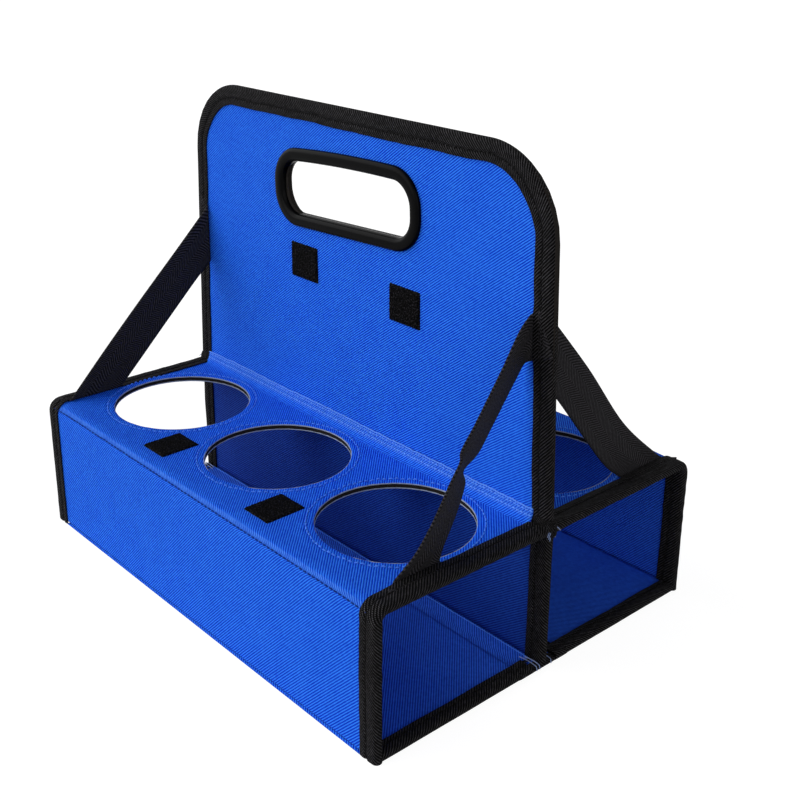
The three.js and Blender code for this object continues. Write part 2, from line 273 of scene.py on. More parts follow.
# A darker copy of the blue thread for the corner seam: painted shade of the sewn groove
shadedThread = sewingThread("polyesterThreadShadedBlue", "#1B44A6", "#0A2268")
cutEdge = sewingThread("polyesterCutEdge", "#AEB8CC", "#7484A6")
paleThread = sewingThread("polyesterThreadPale", "#B4C2E2", "#6F8CCB")
print("materials made")


# Running length along a line of points
def runLength(line):
    steps = np.linalg.norm(np.diff(line, axis=0), axis=1)
    return np.concatenate([[0.0], np.cumsum(steps)])


# The same line with its points at even steps
def evenly(line, count):
    run = runLength(line)
    spots = np.linspace(0, run[-1], count)
    return np.stack([np.interp(spots, run, axis) for axis in line.T], axis=1)


# The same directions, each 1 long
def unit(ways):
    return ways / np.linalg.norm(ways, axis=-1, keepdims=True)


# Places in a plane, turned about its origin
def turnedBy(places, degrees):
    cosine, sine = np.cos(np.radians(degrees)), np.sin(np.radians(degrees))
    return places @ np.array([[cosine, sine], [-sine, cosine]])


# Numbers of any matching shapes, joined to places
def joined(*axes):
    return np.stack(np.broadcast_arrays(*axes), axis=-1)


# Puts a distance from the middle plane and a height into the frame
def placed(x, outward, z, side):
    return joined(x, sides[side] * outward, z)


# Mean of six plane waves about one size long, in fixed random directions: runs from -1 to 1
def ripple(a, b, size, seed):
    rng = np.random.default_rng(seed)
    turns, phases = rng.uniform(0, 2 * np.pi, (2, 6))
    waves = size * rng.uniform(0.7, 1.5, 6)
    crests = [np.sin(2 * np.pi * (a * np.cos(t) + b * np.sin(t)) / w + p)
              for t, p, w in zip(turns, phases, waves)]
    return np.mean(crests, axis=0)


# Rises smoothly from 0 to 1 between two values
def ramp(value, low, high):
    share = np.clip((value - low) / (high - low), 0, 1)
    return share * share * (3 - 2 * share)


# 0 outside two limits, rising to 1 within a distance inside each
def within(value, limits, rise, fall):
    return ramp(value, limits[0], limits[0] + rise) * ramp(-value, -limits[1], fall - limits[1])


# A bell of height 1 about a middle
def bell(value, middle, width):
    return np.exp(-(((value - middle) / width) ** 2))


# 0 where the end tapes hold the cloth flat, rising to 1 further in
def freeOfTape(x):
    return ramp(clothCut - np.abs(x), *tapeHold)


# Joins grids into one mesh. A patch is (points, flat cloth places, material number); points may be a
# stack of grids. Quads join neighbours in each grid, rims that touch are welded, and a closed shell has
# its faces turned outwards.
def addPiece(name, patches, materials, flip=False, closed=False):
    verts, flats, quads, numbers, start = [], [], [], [], 0
    for points, flat, number in patches:
        rows, columns = points.shape[-3:-1]
        stack = points.reshape(-1, rows, columns, 3)
        index = start + np.arange(stack[..., 0].size).reshape(stack.shape[:3])
        quad = joined(index[:, :-1, :-1], index[:, 1:, :-1], index[:, 1:, 1:], index[:, :-1, 1:])
        quads.append(quad.reshape(-1, 4))
        numbers.append(np.full(len(quads[-1]), number))
        verts.append(stack.reshape(-1, 3))
        flats.append(np.broadcast_to(flat, points.shape[:-1] + (2,)).reshape(-1, 2))
        start += index.size
    faces = np.concatenate(quads)
    if flip:
        faces = faces[:, ::-1]
    mesh = bpy.data.meshes.new(name)
    mesh.vertices.add(start)
    mesh.vertices.foreach_set("co", np.concatenate(verts).ravel() * mm)
    mesh.loops.add(faces.size)
    mesh.loops.foreach_set("vertex_index", faces.ravel().astype(np.int32))
    mesh.polygons.add(len(faces))
    mesh.polygons.foreach_set("loop_start", np.arange(0, faces.size, 4, dtype=np.int32))
    mesh.update(calc_edges=True)
    mesh.polygons.foreach_set("material_index", np.concatenate(numbers).astype(np.int32))
    mesh.polygons.foreach_set("use_smooth", np.ones(len(faces), dtype=bool))
    cloth = mesh.uv_layers.new(name="flatCloth")
    cloth.data.foreach_set("uv", np.concatenate(flats)[faces.ravel()].ravel())
    built = bmesh.new()
    built.from_mesh(mesh)
    bmesh.ops.remove_doubles(built, verts=built.verts, dist=1e-6)
    if closed:
        bmesh.ops.recalc_face_normals(built, faces=built.faces)
    built.to_mesh(mesh)
    built.free()
    for material in materials:
        mesh.materials.append(material)
    piece = bpy.data.objects.new(name, mesh)
    bpy.context.scene.collection.objects.link(piece)
    return piece


# Cloth thickness, grown to the inside of a sheet's face, or evenly to both sides with an offset of 0
def thicken(piece, thick, offset=-1):
    modifier = piece.modifiers.new("clothThickness", "SOLIDIFY")
    modifier.thickness = thick * mm
    modifier.offset = offset


# Keeps a piece on its body and hides the solids that it stands for
def settle(piece, body, slot, *nodes):
    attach(piece, body)
    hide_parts(*nodes)


# For cloth that lies across two bodies: bakes its place into its mesh and hides the solids that it
# stands for. Start and end are (distance from the middle, height), and are not used.
def settleBent(piece, bodies, side, start, end, slot, *nodes):
    start, end = (placed(0.0, *place, side) * mm for place in (start, end))
    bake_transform(piece)
    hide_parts(*nodes)


# A profile carried along a path: place = path + (first number) * inward + (second number) * out.
# The profile is one loop for the whole path, or a loop for each of its points.
def sweep(path, inward, out, profile):
    inward, out = (np.broadcast_to(way, path.shape)[:, None] for way in (inward, out))
    loops = np.broadcast_to(profile, (len(path),) + profile.shape[-2:])
    points = path[:, None] + loops[..., :1] * inward + loops[..., 1:] * out
    around = runLength(np.concatenate([loops[0], loops[0][:1]]))
    closedLoop = np.concatenate([points, points[:, :1]], axis=1)
    return closedLoop, joined(runLength(path)[:, None], around[None])


# A sweep as patches, with both ends closed by a fan from the loop to its middle
def closedRun(path, inward, out, profile):
    points, flat = sweep(path, inward, out, profile)
    patches = [(points, flat, 0)]
    for k in (0, -1):
        middle = np.broadcast_to(points[k].mean(axis=0), points[k].shape)
        patches.append((np.stack([points[k], middle]), np.stack([flat[k], flat[k]]), 0))
    return patches


# A thin cord along a path: a ring of points square to the path at each of its places, with its ends
# closed
def cordRun(path, thick, corners=6):
    along = unit(np.gradient(path, axis=0))
    beside = unit(np.cross(along, (0.31, 0.22, 0.93)))  # a direction that no cord here runs in
    turn = np.linspace(0, 2 * np.pi, corners, endpoint=False)
    ring = thick / 2 * joined(np.cos(turn), np.sin(turn))
    return closedRun(path, beside, np.cross(beside, along), ring)


# Dashes of thread at even steps along a line on a face. Each is a thin tube of five rings and six sides
# that rises from the cloth and dips back into it.
def stitchRow(line, out, pitch, thread, share=0.72, sink=0.12):
    run = runLength(line)
    count = max(2, int(run[-1] / pitch))
    across = np.linspace(-0.5, 0.5, 5)
    spots = (np.arange(count)[:, None] + 0.5 + share * across) * run[-1] / count
    middle, up = (np.stack([np.interp(spots, run, axis) for axis in values.T], axis=-1)
                  for values in (line, np.broadcast_to(out, line.shape)))
    along = unit(np.gradient(middle, axis=1))
    up = unit(up)
    beside = np.cross(along, up)
    rise = thread * (1 - 4 * across ** 2) - sink
    width = thread * (1 - 6 * across ** 4)
    turn = np.linspace(0, 2 * np.pi, 7)
    ring = np.cos(turn)[:, None] * beside[..., None, :] + np.sin(turn)[:, None] * up[..., None, :]
    points = middle[..., None, :] + (rise[:, None] * up)[..., None, :] + width[:, None, None] * ring
    return points, np.zeros(2)


# Thread or a raw edge, sewn on one body
def addThread(name, patches, material, body, slot):
    settle(addPiece(name, patches, [material], closed=True), body, slot)


panelEdge = {"corner": 46, "lean": 8.5, "tapeFoot": 1.2, "waver": 0.15}


# Half the panel's length at a height: upright below the decks, leaning in above them
def halfPanel(z):
    return halfLength - np.maximum(0, z - deckTop) * panelEdge["lean"] / (panelTop - deckTop)


# The panel's edge from its left foot over the top to its right foot: sides, round corners and straight
# top
def panelLine(inset, foot, count):
    slope = np.arctan2(panelEdge["lean"], panelTop - deckTop)
    height = panelTop - panelEdge["corner"]
    middle = halfPanel(height) - panelEdge["corner"] / np.cos(slope)
    turn = np.linspace(slope, np.pi / 2, 40)
    radius = panelEdge["corner"] - inset
    arc = joined(middle + radius * np.cos(turn), height + radius * np.sin(turn))
    low = [[halfPanel(foot) - inset, foot]]
    knee = [[halfLength - inset, deckTop]] if foot < deckTop else low
    right = np.concatenate([low, knee, arc])
    return evenly(np.concatenate([right * (-1, 1), right[::-1]]), count)


# Each outline of the handle is (width, height, corner radius)
handle = {"rim": (127, 45.4, 20), "opening": (111, 30.4, 12.8), "slot": (115, 36.5, 17.5), "arch": 0.05,
          "tilt": 2.6, "offFace": 0.1}
handleMiddle = np.array([-2.6, sum(span("handle_front", 2)) / 2 - 0.6])
# Rim section from the outer edge (0) to the opening (1), with heights above the cloth: steep edge, flat
# crown, and a round slope into the opening
handleSection = np.array([
    (0, 0), (0, 0.9), (0.02, 1.5), (0.07, 1.95), (0.15, 2.25), (0.3, 2.42), (0.5, 2.45), (0.66, 2.38),
    (0.78, 2.15), (0.87, 1.7), (0.94, 0.95), (0.98, 0.05), (1, -0.9), (1, -2.05), (0.72, -2.05), (0.72, 0),
    (0, 0),
])


# Outline of a box with round corners about the handle's middle, with matching points on outlines of other
# sizes: arcs, then straight sides, with an arched top, all turned by the handle's tilt
def roundBox(width, height, corner, arcSteps=16, sideSteps=8):
    turn = np.linspace(0, np.pi / 2, arcSteps)
    signs = np.array([(1, 1), (-1, 1), (-1, -1), (1, -1)])
    centres = signs * (np.array([width, height]) / 2 - corner)
    angles = turn + np.arange(4)[:, None] * np.pi / 2
    arcs = centres[:, None] + corner * joined(np.cos(angles), np.sin(angles))
    gaps = np.linspace(arcs[:, -1], np.roll(arcs[:, 0], -1, axis=0), sideSteps + 2, axis=1)[:, 1:-1]
    loop = np.concatenate([arcs, gaps], axis=1).reshape(-1, 2)
    loop = np.concatenate([loop, loop[:1]])
    upper = np.clip(2 * loop[:, 1] / height, 0, 1)
    loop[:, 1] += handle["arch"] * height * upper * (1 - (2 * loop[:, 0] / width) ** 2)
    return turnedBy(loop, handle["tilt"]) + handleMiddle


# Handle rim: each place on the section lies between the two outlines, at its height over the panel's face
def addHandle(side):
    outer, inner = roundBox(*handle["rim"]), roundBox(*handle["opening"])
    flat = outer[:, None] + (inner - outer)[:, None] * handleSection[None, :, :1]
    height = panelFace + handle["offFace"] + handleSection[None, :, 1]
    points = placed(flat[..., 0], height, flat[..., 1], side)
    rim = addPiece(side + "HandleRim", [(points, np.zeros(2), 0)], [blackPlastic], closed=True)
    settle(rim, "centre", "handle_plastic", "handle_" + side)


panelCloth = {"around": 420, "outward": 48, "inset": 3.5, "wave": 0.45, "waveSize": 85, "sunk": 0.6,
              "freeOfSlot": (0, 0.15), "freeOfEdge": (0.02, 0.2), "offGrain": 9, "areaShare": 0.93,
              "thick": 0.6}


# Panel cover: rings from the hand slot out to the panel's edge, on lines that fan out from the slot's
# middle. Below the decks it takes a darker copy of the lining: painted shade for the dim space under the
# decks.
def addPanelCover(side):
    arch = panelLine(panelCloth["inset"], panelFoot, 300)
    foot = np.linspace(arch[-1], arch[0], 120)[1:]
    outer = evenly(np.concatenate([arch, foot]), panelCloth["around"])
    slot = roundBox(*handle["slot"], arcSteps=60, sideSteps=60)[:-1] - handleMiddle
    slotTurn, turn = (np.arctan2(*line.T[::-1]) for line in (slot, outer - handleMiddle))
    order = np.argsort(slotTurn)
    radius = np.interp(turn, slotTurn[order], np.linalg.norm(slot, axis=1)[order], period=2 * np.pi)
    inner = handleMiddle + radius[:, None] * joined(np.cos(turn), np.sin(turn))
    share = np.linspace(0, 1, panelCloth["outward"])[:, None]
    flat = inner + (outer - inner) * share[..., None]
    x, z = flat[..., 0], flat[..., 1]
    free = ramp(share, *panelCloth["freeOfSlot"]) * ramp(1 - share, *panelCloth["freeOfEdge"])
    wave = ripple(x, z, panelCloth["waveSize"], seed=3 + sides[side]) - panelCloth["sunk"]
    points = placed(x, panelFace + panelCloth["wave"] * wave * free, z, side)
    grain = turnedBy(flat * (-sides[side], 1), panelCloth["offGrain"])
    cover = addPiece(side + "PanelCover", [(points, grain, 0)], [blueTwill, shadedLining],
                     flip=side == "front")
    centres = np.empty(3 * len(cover.data.polygons), dtype=np.float32)
    cover.data.polygons.foreach_get("center", centres)
    # faces below the decks get the darker lining, painted shade
    below = centres[2::3] < deckUnder * mm
    cover.data.polygons.foreach_set("material_index", below.astype(np.int32))
    thicken(cover, panelCloth["thick"])
    settle(cover, "centre", "blue_twill", "panel_cover_" + side)


edgeTape = {"reach": 12.0, "thick": 0.8, "puff": 0.18, "valley": 0.7, "valleyWidth": 0.8, "fold": 1.2,
            "tuckShare": 0.6, "stitch": 4.4, "pitch": 2.9, "thread": 0.32, "sunk": 0.12, "liftShare": 0.8}


# Edge tape sections over a sheet, as (in from the edge, up from the sheet's middle), one for each place
# of a run: a leg on each face with a sewn valley between its fold and its tip. Lifts raise the two legs
# over a strap.
def tapeSections(halfSheet, reach, stitch, lifts):
    half, reach, lowLift, highLift = (column[:, None] for column in (halfSheet, reach, *lifts.T))
    outer = half + edgeTape["thick"]
    inward = np.linspace(reach[:, 0], outer[:, 0], 16, axis=1)
    puff = edgeTape["puff"] * np.sin(np.pi * (reach - inward) / (reach - outer))
    puff = puff - edgeTape["valley"] * bell(inward, reach - stitch, edgeTape["valleyWidth"])
    tuckEnd = edgeTape["tuckShare"] * reach
    tuck = ramp(inward, outer, tuckEnd)
    turn = np.linspace(-np.pi / 2, np.pi / 2, 11)[1:-1]
    fold = 0 * reach + edgeTape["fold"]
    low, high = -outer - puff - lowLift * tuck, outer + puff + highLift * tuck
    across = [inward, outer - outer * np.cos(turn), inward[:, ::-1],
              reach, tuckEnd, fold, fold, tuckEnd, reach]
    height = [low, outer * np.sin(turn), high[:, ::-1],
              half + highLift, half + highLift, half, -half, -half - lowLift, -half - lowLift]
    return joined(np.concatenate(across, axis=1), np.concatenate(height, axis=1))


# One run of edge tape: a section at each place of the path, its reach wavering a little along the run,
# closed ends, and a row of dashes sunk in the sewn valley of each leg
def addTape(name, path, inward, out, halfSheet, reach=edgeTape["reach"], stitch=edgeTape["stitch"],
            lifts=None, waver=0.5, seed=90):
    along = runLength(path)
    slow, quick = ripple(along, 0, size=46, seed=seed), ripple(along, 0, size=13, seed=seed + 1)
    reaches = reach + waver * slow + 0.4 * waver * quick
    lifts = np.zeros((len(path), 2)) if lifts is None else lifts
    halves = np.broadcast_to(halfSheet, along.shape)
    patches = closedRun(path, inward, out, tapeSections(halves, reaches, stitch, lifts))
    for lift, sign in zip(lifts.T, (-1, 1)):
        raised = halves + edgeTape["thick"] - edgeTape["sunk"] + edgeTape["liftShare"] * lift
        line = path + (reaches - stitch)[:, None] * inward + (sign * raised)[:, None] * out
        patches.append((*stitchRow(line, sign * out, edgeTape["pitch"], edgeTape["thread"]), 1))
    return addPiece(name, patches, [blackTape, blackThread], closed=True)


# Direction into the carrier from one of its ends
def inwardFrom(end):
    return np.array([-float(ends[end]), 0.0, 0.0])


strapTuck = {"radius": 1.4, "under": 5.0, "lift": 0.75, "outside": 6, "fade": 9, "halfWidth": 12.5,
             "waver": 0.5, "thick": 1.2, "offFace": 0.75}
# Each strap's cut heights on the panel, cut distances on the deck, and places of its middle between them:
# (outward, height, slope of its cut, how far it is turned on edge)
straps = {
    ("front", "left"): {"head": (159, 196), "foot": (75, 110),
                        "places": [(29.5, 150.5, 43, 1), (66.5, 112.5, 43, 3)]},
    ("front", "right"): {"head": (172, 197), "foot": (68, 99), "places": [
        (10.4, 180.5, 64, 16), (19, 169.5, 36, 22), (28.5, 157.5, 30, 22), (37.7, 146, 30, 22),
        (46.2, 136.2, 28, 22), (51.8, 130.5, 42, 33), (54.6, 122.5, 30, 25), (61, 110.7, 28, 21),
        (67.5, 101.3, 21, 18), (75, 92.4, 12, 11)]},
    ("rear", "left"): {"head": (158, 195), "foot": (73, 108),
                       "places": [(29, 149, 42, -2), (65, 110, 42, -3)]},
    ("rear", "right"): {"head": (164, 201), "foot": (72, 109),
                        "places": [(30.5, 150.5, 41, -2), (64.5, 108, 42, -3)]},
}


# How far the tape over a strap's end is raised, at places along the edge: it rises from a little outside the
# strap's cut on each side
def strapLift(place, cut):
    limits = (cut[0] - strapTuck["outside"], cut[1] + strapTuck["outside"])
    return strapTuck["lift"] * within(place, limits, strapTuck["fade"], strapTuck["fade"])


# Panel tape: the section carried over the arch, one leg on each face, raised where the straps come out
def addPanelTape():
    line = panelLine(0, deckTop + panelEdge["tapeFoot"], 280)
    x, z = line.T
    tangent = unit(np.gradient(line, axis=0))
    inward = joined(tangent[:, 1], 0, -tangent[:, 0])
    path = joined(x, panelEdge["waver"] * ripple(x, z, size=60, seed=8), z)
    lifts = [np.where(x < 0, *(strapLift(z, straps[side, end]["head"]) for end in ends)) for side in sides]
    tape = addTape("panelTape", path, inward, rearward, panelFace, lifts=np.stack(lifts, axis=1), waver=0.7)
    settle(tape, "centre", "black_tape", "panel_tape")


dividerTape = {"belowDeck": 0.6, "waver": 0.4}


# Divider tape: the same section, upright on each end of the divider below the decks
def addDividerTape(end):
    sign = ends[end]
    z = np.linspace(panelFoot, deckUnder - dividerTape["belowDeck"], 60)
    path = joined(sign * halfLength, dividerTape["waver"] * ripple(z, 0, size=40, seed=12 + sign), z)
    tape = addTape(end + "DividerTape", path, inwardFrom(end), rearward, panelFace, seed=94 + sign)
    settle(tape, "centre", "black_tape", "divider_tape_" + end)


crossing = {"size": (8.2, 3.8, 7.0), "fromEnd": 6.6, "drop": 1, "rough": 0.13, "square": 0.8,
            "strands": 110, "strandSwing": 0.45, "strandThick": 0.6, "strandSize": 1.02, "tails": 5,
            "tailThick": 0.42, "tailDroop": 6.0}


# Where the tapes meet at each end: a bulky sewn lump (a ball with unequal axes, squared and roughened),
# short black stitches all over it, and a few loose ends of thread that droop from it
def addCrossing(end):
    sign = ends[end]
    rng = np.random.default_rng(100 + sign)
    middle = np.array([sign * (halfLength - crossing["fromEnd"]), 0, deckTop - crossing["drop"]])
    size = np.array(crossing["size"])
    around, tilt = np.meshgrid(np.linspace(0, 2 * np.pi, 41), np.linspace(-np.pi / 2, np.pi / 2, 25))
    ball = joined(np.cos(around) * np.cos(tilt), np.sin(around) * np.cos(tilt), np.sin(tilt))
    rough = ripple(5 * ball[..., 0] + 3 * ball[..., 2], 5 * ball[..., 1], size=2.2, seed=101) * np.cos(tilt)
    squared = size * np.sign(ball) * np.abs(ball) ** crossing["square"]
    points = middle + squared * (1 + crossing["rough"] * rough)[..., None]
    points[:, -1] = points[:, 0]
    lump = addPiece(end + "CrossingTape", [(points, 9 * joined(around, tilt), 0)], [blackTape], closed=True)
    settle(lump, "centre", "black_tape")
    facing = unit(rng.normal(size=(crossing["strands"], 3)))
    course = unit(np.cross(facing, rng.normal(size=facing.shape)))
    swing = np.linspace(-crossing["strandSwing"], crossing["strandSwing"], 6)[None, :, None]
    arcs = facing[:, None] * np.cos(swing) + course[:, None] * np.sin(swing)
    squared = size * np.sign(arcs) * np.abs(arcs) ** crossing["square"]
    arcs = middle + crossing["strandSize"] * squared  # just clear of the lump
    strands = [part for arc in arcs for part in cordRun(arc, crossing["strandThick"], corners=5)]
    addThread(end + "CrossingThread", strands, blackThread, "centre", "black_tape")
    t = np.linspace(0, 1, 16)[:, None]
    tails = []
    for _ in range(crossing["tails"]):
        start = middle + size * (0.75 * sign, rng.uniform(-0.6, 0.6), rng.uniform(-0.6, 0.5))
        aim = np.array([sign * rng.uniform(0.5, 2.5), rng.uniform(-7, 7), rng.uniform(-3, 2)])
        droop = crossing["tailDroop"] * rng.uniform(0.3, 1) * upward
        tails += cordRun(start + aim * t - droop * t ** 2, crossing["tailThick"])
    addThread(end + "LooseThread", tails, paleThread, "centre", "black_tape")


floorTape = {"reach": 9.0, "stitch": 3.0, "rootEnd": 18.0, "overRoot": 1, "outerGap": 1.6, "inset": 0.1,
             "waver": 0.2, "middle": 2.3, "halfSheet": 1.45}
# Where each root runs from and to, out from the middle, and the tape that it carries on
tapeRoots = {
    "Deck": {"limits": (2.4, 9.5), "height": deckTop - 1.8, "halfSheet": 1.85,
             "reach": edgeTape["reach"] - 0.4},
    "Floor": {"limits": (9.0, floorTape["rootEnd"]), "height": floorTape["middle"],
              "halfSheet": floorTape["halfSheet"], "reach": floorTape["reach"]},
}
rootSwell = 0.15  # how much fuller a root is than its tape, and how far it stands out at the end
rootBend = (0.5, 0.8)  # how far inside its limits a root starts and ends its bend


# Short tape that carries an end tape on to the crossing: it is a little thicker
def addTapeRoot(part, side, end):
    root, sign = tapeRoots[part], ends[end]
    (start, stop), height = root["limits"], root["height"]
    o = np.linspace(start, stop, 22)
    swell = rootSwell * np.sin(np.pi * (o - start) / (stop - start))
    path = placed(sign * (halfLength + rootSwell), o, height, side)
    tape = addTape(side + part + "TapeRoot" + end.title(), path, inwardFrom(end), upward,
                   root["halfSheet"] + swell, reach=root["reach"], waver=0.6, seed=97 + sign)
    bodies = ("centre", side + "_" + part.lower())
    settleBent(tape, bodies, side, (start + rootBend[0], height), (stop - rootBend[1], height),
               "black_tape")


pilePad = {"long": 25.0, "short": 21.5, "thick": 1.4, "sunk": 0.2, "pile": 0.28, "fray": 0.18}
# How far each hook patch is sewn from its marked place, across and up
hookShift = {("front", "left"): (6.5, 8.5), ("front", "right"): (1.5, 3.6), ("rear", "left"): (1, 4),
             ("rear", "right"): (-2, 3)}


# Hook or loop patch: a grid whose height falls off at its rim, roughened by a matted pile
def pilePatch(width, length, seed):
    rng = np.random.default_rng(seed)
    a, b = np.meshgrid(np.linspace(-1, 1, 64), np.linspace(-1, 1, 64), indexing="ij")
    height = pilePad["thick"] * (1 - np.abs(a) ** 22) * (1 - np.abs(b) ** 22)
    rough = pilePad["pile"] * rng.uniform(-1, 0.4, a.shape) * (height > 0.5 * pilePad["thick"])
    fray = pilePad["fray"] * ripple(a * width, b * length, 5, seed)
    a, b = (c * size / 2 + fray * (np.abs(c) > 0.9) for c, size in ((a, width), (b, length)))
    return a, b, height + rough - pilePad["sunk"]


# Hook patches stand on the panel's face, and loop patches lie on the deck
def addPatches(side):
    for end, sign in ends.items():
        seed = 40 + 3 * sign + sides[side]
        node = side + "_panel_hook_" + end
        x, _, z = np.mean(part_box(node), axis=0) / mm
        a, b, height = pilePatch(pilePad["long"], pilePad["short"], seed)
        across, rise = hookShift[side, end]
        points = placed(x + across + a, panelFace + height, z + rise + b, side)
        hook = addPiece(side + "PanelHook" + end.title(), [(points, joined(a, b), 0)], [blackPile],
                        flip=side == "rear")
        settle(hook, "centre", "hook_and_loop", node)
        node = side + "_deck_loop_" + end
        x, y, _ = np.mean(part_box(node), axis=0) / mm
        a, b, height = pilePatch(pilePad["short"], pilePad["long"], seed + 9)
        points = placed(x + a, abs(y) + b, deckTop + height, side)
        loop = addPiece(side + "DeckLoop" + end.title(), [(points, joined(a, b), 0)], [blackPile],
                        flip=side == "front")
        settle(loop, side + "_deck", "hook_and_loop", node)


# The crease is (out from the middle, height), and the places after it are (out, height over the deck)
seam = {"top": 91.6, "offFace": 0.75, "crease": (5.3, 84.5), "onDeck": [(5.9, 0.15), (6.9, 0.1), (8.0, 0)],
        "end": 149.0, "bendStart": 3.6, "flatWidth": 12.5, "thick": 0.7, "highlitRows": 7,
        "slowWave": 0.7, "quickWave": 0.45, "bulge": 0.35, "bow": 1.6, "threadRows": (2, 5),
        "threadFacing": (0.9, 0.4), "edgeThick": 0.7, "edgeDrop": 0.1}
seamFoot = seam["onDeck"][-1][0]


# Deck seam: deck cloth turned up on the panel. A line slopes from its wavy top down to a crease and out
# over the deck, and runs along the carrier. The upright part has two rows of thread and a pale raw edge.
def addSeam(side):
    x = np.linspace(-seam["end"], seam["end"], 220)[None]
    slope = np.linspace(0, 1, 10)
    face = panelFace + seam["offFace"]
    deckOut, deckUp = np.array(seam["onDeck"]).T
    creaseOut, creaseUp = seam["crease"]
    outward = np.concatenate([face + (creaseOut - face) * slope ** seam["bow"], deckOut])[:, None]
    height = np.concatenate([seam["top"] + (creaseUp - seam["top"]) * slope, deckTop + deckUp])[:, None]
    upper = ramp(height, deckTop + 1, seam["top"])
    slow, quick = ripple(x, 0, size=70, seed=5), ripple(x, 0, size=9, seed=6)
    height = height + upper * (seam["slowWave"] * slow + seam["quickWave"] * quick)
    outward = outward + seam["bulge"] * upper * ripple(x, height, size=9, seed=7)
    points = placed(x, outward, height, side)
    flat = joined(-sides[side] * x, height)
    # the upper rows of the turned-up flange take the paler twill, a painted highlight
    turn = seam["highlitRows"]
    patches = [(points[:turn + 1], flat[:turn + 1], 0), (points[turn:], flat[turn:], 1)]
    strip = addPiece(side + "DeckSeam", patches, [highlitTwill, blueTwill], flip=side == "rear")
    thicken(strip, seam["thick"])
    settleBent(strip, ("centre", side + "_deck"), side, (seam["bendStart"], deckTop), (seamFoot, deckTop),
               "blue_twill", side + "_deck_seam")
    out = placed(0.0, *seam["threadFacing"], side)
    rows = [(*stitchRow(points[row], out, pitch=2.8, thread=0.36), 0) for row in seam["threadRows"]]
    addThread(side + "SeamThread", rows, lightThread, "centre", "blue_twill")
    rawEdge = cordRun(points[0] - seam["edgeDrop"] * upward, seam["edgeThick"])
    addThread(side + "SeamEdge", rawEdge, lightThread, "centre", "blue_twill")


cupHole = {"radius": 42.0, "pitch": 101.5, "fromMiddle": 54.5, "stitch": 4.2}


# A circle about a cup hole's middle; hole is -1, 0 or 1 from left to right
def holeRing(hole, radius, turn):
    return hole * cupHole["pitch"] + radius * np.cos(turn), cupHole["fromMiddle"] + radius * np.sin(turn)


# One deck cell round each cup hole: rings that go from the round hole out to the straight sides of the
# cell. The corner angles are kept, so the cells meet point to point.
def deckCell(hole, low, high, rings, perSide=36):
    x0 = -clothCut if hole < 0 else (hole - 0.5) * cupHole["pitch"]
    x1 = clothCut if hole > 0 else (hole + 0.5) * cupHole["pitch"]
    middle = np.array([hole * cupHole["pitch"], cupHole["fromMiddle"]])
    corners = np.array([(x1, low), (x1, high), (x0, high), (x0, low)]) - middle
    turns = np.unwrap(np.arctan2(corners[:, 1], corners[:, 0]))
    turns = np.append(turns, turns[0] + 2 * np.pi)
    turn = np.linspace(turns[:-1], turns[1:], perSide, endpoint=False, axis=1).ravel()
    turn = np.append(turn, turns[-1])
    cosine, sine = np.cos(turn), np.sin(turn)
    reachX = np.where(cosine > 0, x1 - middle[0], middle[0] - x0) / np.maximum(np.abs(cosine), 1e-9)
    reachY = np.where(sine > 0, high - middle[1], middle[1] - low) / np.maximum(np.abs(sine), 1e-9)
    reach = np.minimum(reachX, reachY)
    radius = cupHole["radius"] + (reach - cupHole["radius"]) * rings[:, None]
    place = middle + radius[..., None] * joined(cosine, sine)
    return place[..., 0], place[..., 1], radius, turn


wallCloth = {"corner": 7.0, "foot": 0.8, "footRoll": 1.6, "wave": 0.45, "waveSize": 80, "seamTurn": 64,
             "highlitTurn": 38, "groove": 0.95, "grooveWidth": 8, "ridge": 0.6, "ridgeBack": 27,
             "ridgeWidth": 13, "uneven": 0.3, "freeOfDeck": (10, 25), "freeOfFoot": (1, 14), "tuck": 0.2,
             "threadOff": (0.25, 0.12), "thick": 0.6}
# Where the cloth starts and ends its bend between deck and wall, as (out from the middle, height)
cornerBend = (cornerFold + 0.6, deckTop), (wallFace - 0.4, deckTop - 8)


# Line over the outside of a half between two turns, as columns of places, outward directions and running
# length: deck, round corner, wall, rolled foot
def outsideLine(start, first=0, last=180):
    radius, roll = wallCloth["corner"], wallCloth["footRoll"]
    foot = wallCloth["foot"] + roll
    turn = np.radians(np.concatenate([np.linspace(0, wallCloth["seamTurn"], 22),
                                      np.linspace(wallCloth["seamTurn"], 90, 10)[1:]]))
    tip = np.linspace(np.pi / 2, np.pi, 7)
    level = np.linspace(start, wallFace - radius, 80)[:-1] if start < wallFace - radius else np.zeros(0)
    upright = np.linspace(deckTop - radius, foot, 50)[1:-1]
    outward = np.concatenate([level, wallFace - radius + radius * np.sin(turn), 0 * upright + wallFace,
                              wallFace - roll + roll * np.sin(tip), [wallInner + wallCloth["tuck"]]])
    height = np.concatenate([0 * level + deckTop, deckTop - radius + radius * np.cos(turn), upright,
                             foot + roll * np.cos(tip), [wallCloth["foot"]]])
    facing = np.concatenate([0 * level, turn, 0 * upright + np.pi / 2, tip, [np.pi]])
    run = runLength(joined(outward, height))
    keep = (facing >= np.radians(first) - 1e-6) & (facing <= np.radians(last) + 1e-6)
    return [column[keep][:, None] for column in (outward, height, facing, run)]


# Height of the cloth over the corner's arc: a soft ridge, then a sewn groove at the seam, both uneven
# along x
def cornerLift(x, facing):
    bent = np.degrees(facing)
    ridgeAt = wallCloth["seamTurn"] - wallCloth["ridgeBack"]
    shape = wallCloth["ridge"] * bell(bent, ridgeAt, wallCloth["ridgeWidth"])
    shape = shape - wallCloth["groove"] * bell(bent, wallCloth["seamTurn"], wallCloth["grooveWidth"])
    uneven = 1 + wallCloth["uneven"] * ripple(x, 0, size=12, seed=31)
    return shape * (bent > 0.5) * uneven * freeOfTape(x)


